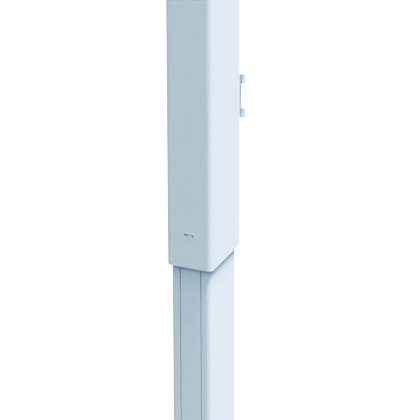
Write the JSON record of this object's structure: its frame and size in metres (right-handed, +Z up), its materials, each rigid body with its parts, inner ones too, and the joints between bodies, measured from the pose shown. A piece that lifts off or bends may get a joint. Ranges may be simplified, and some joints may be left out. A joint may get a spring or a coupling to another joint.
{
  "type": "ev charging post",
  "caption": "Slim two-stage charging post: a narrow mast with a cable channel carries a wider housing with a lidded socket outlet.",
  "frame": {"origin": "centre of the base plate's underside, where the post stands on the ground", "axes": "+Z up along the post, -Y towards the front with the release slot and the cable channel, +Y towards the socket outlet, +X towards the side that carries the lid's hinge"},
  "size_m": [0.2, 0.25, 1.45],
  "materials": {
    "painted_light": "satin powder coat, pale blue-grey",
    "painted_mast": "satin powder coat, pale blue-grey",
    "galvanised": "zinc plated",
    "base_steel": "dark powder coat",
    "screw_steel": "stainless",
    "dark_plastic": "fine grain",
    "grey_plastic": "fine grain",
    "device_plastic": "smooth",
    "dark_device": "smooth",
    "lever_plastic": "glossy",
    "seal": "EPDM",
    "lens": "frosted translucent plastic",
    "board": "solder mask",
    "contact_metal": "silver-plated brass",
    "lead_sheath": "orange sheath",
    "window": "glossy",
    "chrome_lock": "satin chrome"
  },
  "bodies": {
    "post": {"base_plate": "base_steel", "mast": "painted_mast", "cable_cover_strip": "painted_mast", "closing_collar": "grey_plastic", "head_plate": "galvanised", "head_screws": "screw_steel", "earth_stud": "contact_metal", "housing_shell": "painted_light", "housing_screws": "screw_steel", "light_ring": "lens", "light_board": "board", "top_cap": "painted_light", "cap_screws": "screw_steel", "upper_bracket": "galvanised", "chassis_plate": "galvanised", "chassis_screws": "screw_steel", "din_rails": "galvanised", "terminal_block": "device_plastic", "breaker_body": "device_plastic", "contactor": "dark_device", "energy_meter": "device_plastic", "charge_controller": "dark_device", "power_supply": "dark_device", "modem": "dark_device", "antenna": "dark_plastic", "panel_frame": "galvanised", "panel_gasket": "seal", "service_panel": "painted_light", "lower_lock_barrel": "chrome_lock", "upper_lock_barrel": "chrome_lock", "lock_nuts": "screw_steel", "reader_window": "window", "reader_board": "board", "slot_bezel": "grey_plastic", "latch_keeper": "galvanised", "outlet_frame": "grey_plastic", "socket_body": "dark_plastic", "socket_insert": "dark_plastic", "socket_contacts": "contact_metal", "outlet_clamps": "galvanised", "socket_screws": "screw_steel", "socket_nuts": "screw_steel", "lock_actuator": "dark_device", "socket_lead": "lead_sheath", "hinge_pins": "screw_steel"},
    "lid": {"outlet_lid": "painted_light", "lid_gasket": "seal"},
    "slider": {"release_slider": "dark_plastic"},
    "lever": {"breaker_lever": "lever_plastic"},
    "lock_bolt": {"lock_pin": "screw_steel"},
    "lower_cam": {"lower_lock_rotor": "screw_steel"},
    "upper_cam": {"upper_lock_rotor": "screw_steel"}
  },
  "joints": [
    {"name": "lid_hinge", "type": "hinge", "parent": "post", "child": "lid", "pos_m": [0.064, 0.097, 0.94], "axis": [0, 0, -1], "range_deg": [0, 110], "stiffness_Nm_per_rad": 0.05, "springref_deg": -34.38},
    {"name": "release_slide", "type": "slide", "parent": "post", "child": "slider", "axis": [-1, 0, 0], "range_m": [0, 0.008]},
    {"name": "breaker_toggle", "type": "hinge", "parent": "post", "child": "lever", "pos_m": [0, 0.0215, 0.85], "axis": [-1, 0, 0], "range_deg": [0, 70]},
    {"name": "lock_pin_slide", "type": "slide", "parent": "post", "child": "lock_bolt", "axis": [0, 0, -1], "range_m": [0, 0.005]},
    {"name": "lower_lock_turn", "type": "hinge", "parent": "post", "child": "lower_cam", "pos_m": [0.024, 0.0862, 0.7], "axis": [0, 1, 0], "range_deg": [0, 90]},
    {"name": "upper_lock_turn", "type": "hinge", "parent": "post", "child": "upper_cam", "pos_m": [0.024, 0.0862, 1.317], "axis": [0, 1, 0], "range_deg": [0, 90]}
  ]
}
